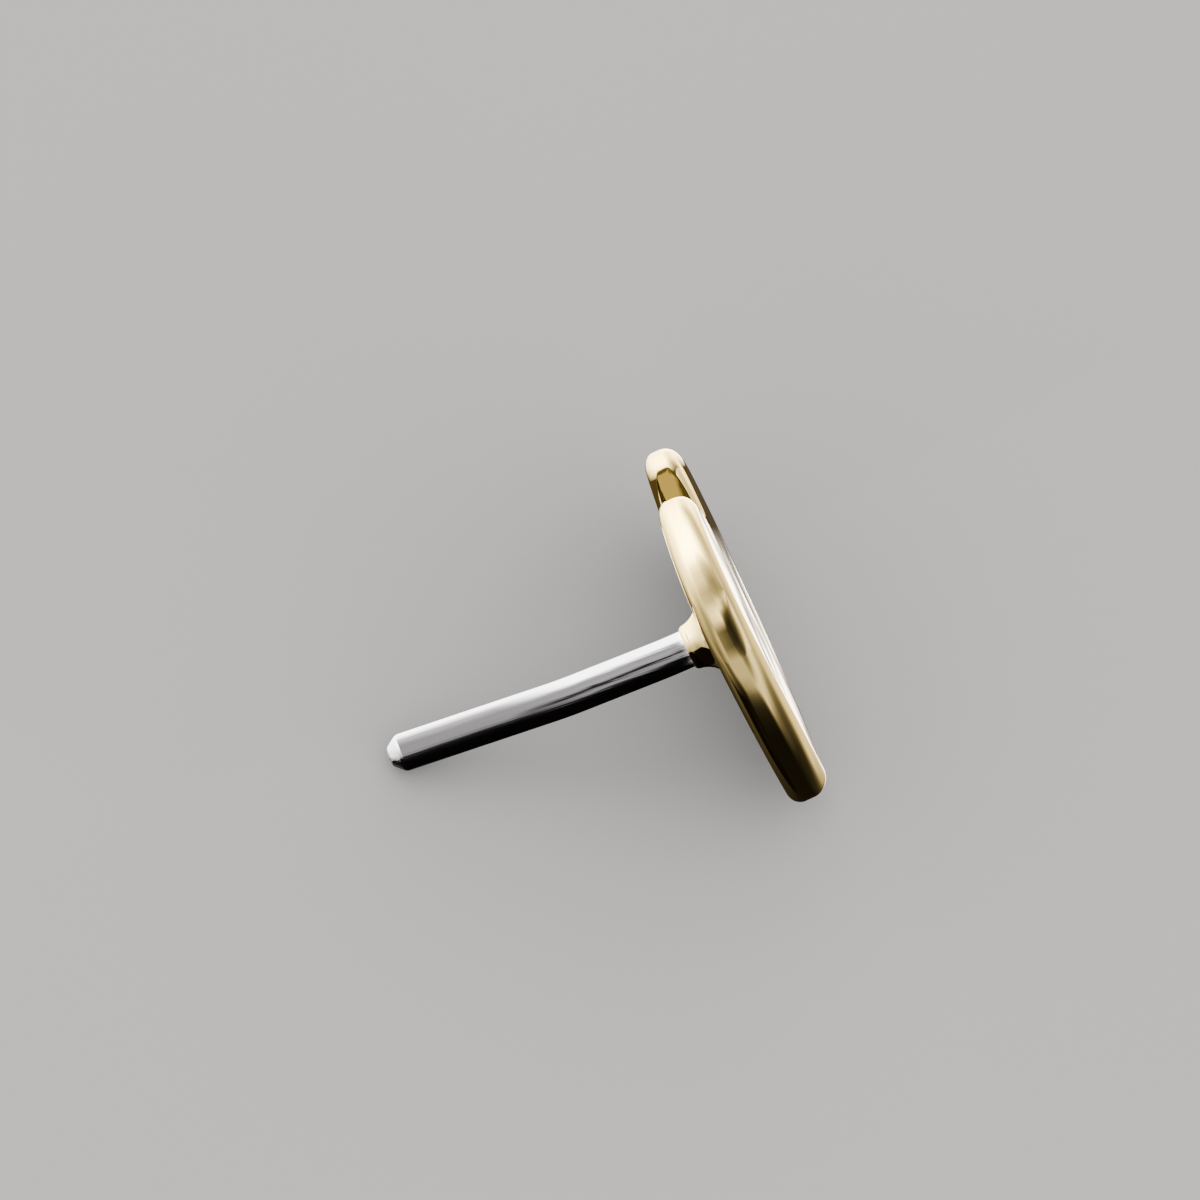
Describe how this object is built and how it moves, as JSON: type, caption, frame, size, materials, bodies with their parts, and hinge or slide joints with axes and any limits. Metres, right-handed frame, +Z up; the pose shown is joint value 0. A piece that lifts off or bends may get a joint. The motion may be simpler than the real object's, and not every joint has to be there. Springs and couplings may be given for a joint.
{
  "type": "threadless piercing end",
  "caption": "Flat polished heart-shaped end for a threadless body piercing, with a bent press pin standing on a flared boss at its back.",
  "frame": {"origin": "middle of the footprint, on the surface that the stud rests on", "axes": "+Z up; +X from the tip of the pin towards the heart's front face; +Y along the flank that it rests on, from the heart's point towards its lobes"},
  "size_m": [0.0054, 0.005, 0.0045],
  "materials": {
    "yellow_gold": "mirror-polished pale yellow gold, softened at the rims",
    "white_metal": "polished white metal with fine drawing lines along the pin"
  },
  "bodies": {
    "root": {"heart_head": "yellow_gold", "pin": "white_metal"}
  },
  "joints": []
}
